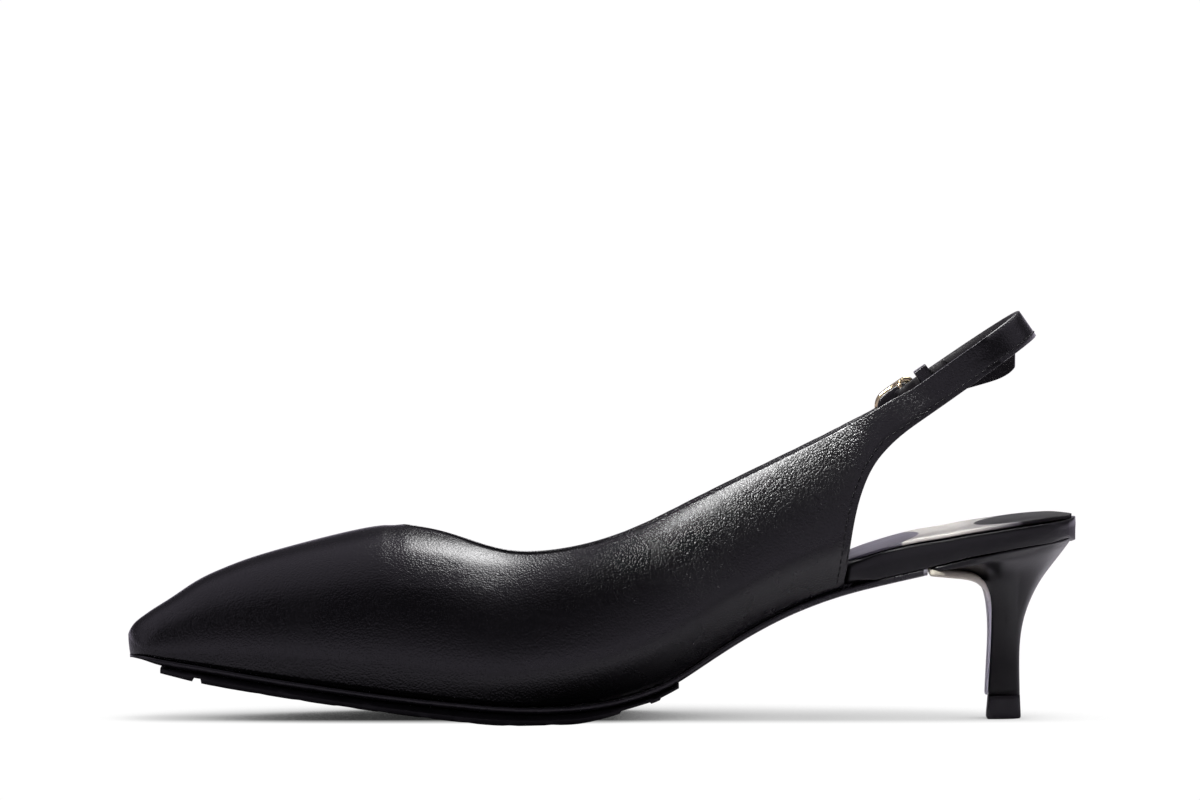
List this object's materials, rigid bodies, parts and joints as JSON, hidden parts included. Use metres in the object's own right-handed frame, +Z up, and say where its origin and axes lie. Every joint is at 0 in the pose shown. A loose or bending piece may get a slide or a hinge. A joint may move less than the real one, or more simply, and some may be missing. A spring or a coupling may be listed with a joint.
{
  "type": "slingback pump",
  "caption": "Black leather pointed-toe slingback pump with a kitten heel, a strap round the heel and a small gold buckle.",
  "frame": {"origin": "on the floor under the middle of the whole shoe's box", "axes": "+X from the toe to the heel, +Z up, -Y towards the inner side of the foot"},
  "size_m": [0.258, 0.0784, 0.1113],
  "materials": {
    "black_leather": "smooth nappa with a fine pressed grain and a soft sheen",
    "covered_rim": "the same leather stretched smooth over the seat's rim",
    "sock_leather": "soft cushioned lining leather, satin",
    "sole_black": "black resin sole with a glossy painted edge",
    "black_rubber": "matt rubber with cross lugs",
    "pale_sole_edge": "pale unpainted sole material down the heel's breast",
    "heel_cover": "the upper's leather wrapped smooth round the heel",
    "lift_rubber": "hard matt rubber",
    "pale_gold": "polished pale gold plate",
    "keeper_leather": "the upper's leather, folded, with a dark cut edge"
  },
  "bodies": {
    "root": {"upper": "black_leather", "insole": "covered_rim", "sock_lining": "sock_leather", "outsole": "sole_black", "forepart_rubber": "black_rubber", "breast_flap": "pale_sole_edge", "heel": "heel_cover", "top_lift": "lift_rubber", "buckle_frame": "pale_gold", "buckle_prong": "pale_gold", "strap_keeper": "keeper_leather"}
  },
  "joints": []
}
